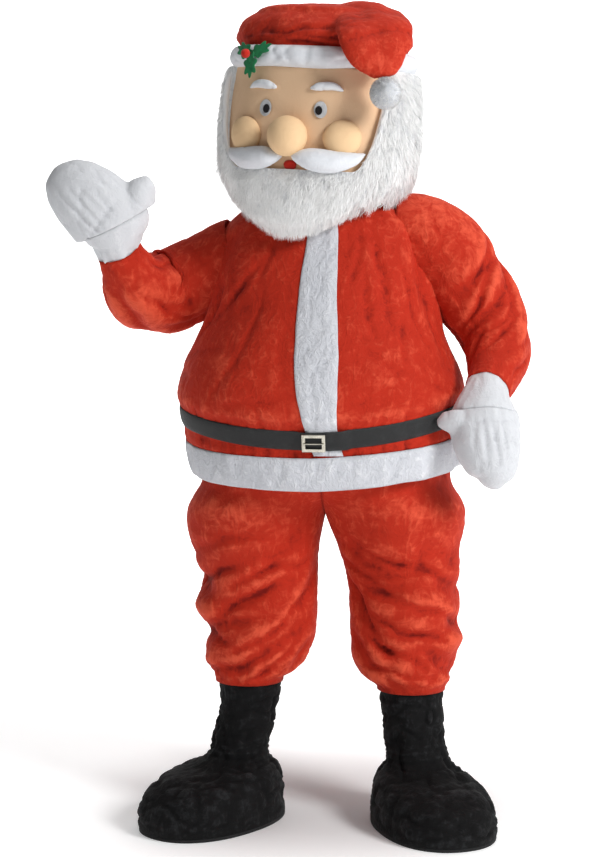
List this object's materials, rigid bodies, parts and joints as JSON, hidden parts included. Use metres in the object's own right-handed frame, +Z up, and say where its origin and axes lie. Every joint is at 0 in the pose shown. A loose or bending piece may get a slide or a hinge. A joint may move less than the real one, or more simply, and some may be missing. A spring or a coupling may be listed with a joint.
{
  "type": "bearded winter mascot costume",
  "caption": "Worn mascot costume with a bearded plush head, slouched hat, belted jacket, trousers, mittens and soft boots, filled out on a general figure with one hand raised.",
  "frame": {"origin": "on the middle line at the height of the wearer's shoulders, which carry the costume", "axes": "+Z up, the front faces -Y, and the wearer's left is +X"},
  "size_m": [1.1213, 0.6343, 1.9361],
  "materials": {
    "red_plush": "short-pile crushed plush",
    "white_plush": "short-pile white plush",
    "white_fur": "long-pile white fur",
    "mitten_plush": "padded white plush",
    "skin_plush": "sheared skin-tone plush over foam",
    "black_plush": "short-pile black plush",
    "strap": "matt black strap",
    "sole": "matt black",
    "buckle": "satin",
    "black_felt": "felt",
    "grey_felt": "felt",
    "red_felt": "felt",
    "green_felt": "felt"
  },
  "bodies": {
    "root": {"jacket_right_front": "red_plush", "jacket_left_front": "red_plush", "jacket_back": "red_plush", "jacket_right_sleeve": "red_plush", "jacket_left_sleeve": "red_plush", "jacket_hem_band": "white_plush", "jacket_placket": "white_plush", "belt_strap": "strap", "belt_buckle": "buckle", "trousers_right_front": "red_plush", "trousers_right_back": "red_plush", "trousers_left_front": "red_plush", "trousers_left_back": "red_plush", "right_mitten_cuff": "mitten_plush", "right_mitten_front": "mitten_plush", "right_mitten_back": "mitten_plush", "left_mitten_cuff": "mitten_plush", "left_mitten_front": "mitten_plush", "left_mitten_back": "mitten_plush", "right_boot_shaft": "black_plush", "right_boot_upper": "black_plush", "right_boot_sole": "sole", "left_boot_shaft": "black_plush", "left_boot_upper": "black_plush", "left_boot_sole": "sole", "head_face": "skin_plush", "head_hair": "white_fur", "head_beard": "white_fur", "head_nose": "skin_plush", "head_right_eye": "grey_felt", "head_right_pupil": "black_felt", "head_right_cheek": "skin_plush", "head_right_moustache": "white_fur", "head_right_brow": "white_fur", "head_left_eye": "grey_felt", "head_left_pupil": "black_felt", "head_left_cheek": "skin_plush", "head_left_moustache": "white_fur", "head_left_brow": "white_fur", "head_mouth": "red_felt", "hat_crown": "red_plush", "hat_band": "white_plush", "hat_pompom": "white_fur", "hat_leaf_1": "green_felt", "hat_leaf_2": "green_felt", "hat_leaf_3": "green_felt", "hat_berry": "red_felt"}
  },
  "joints": []
}
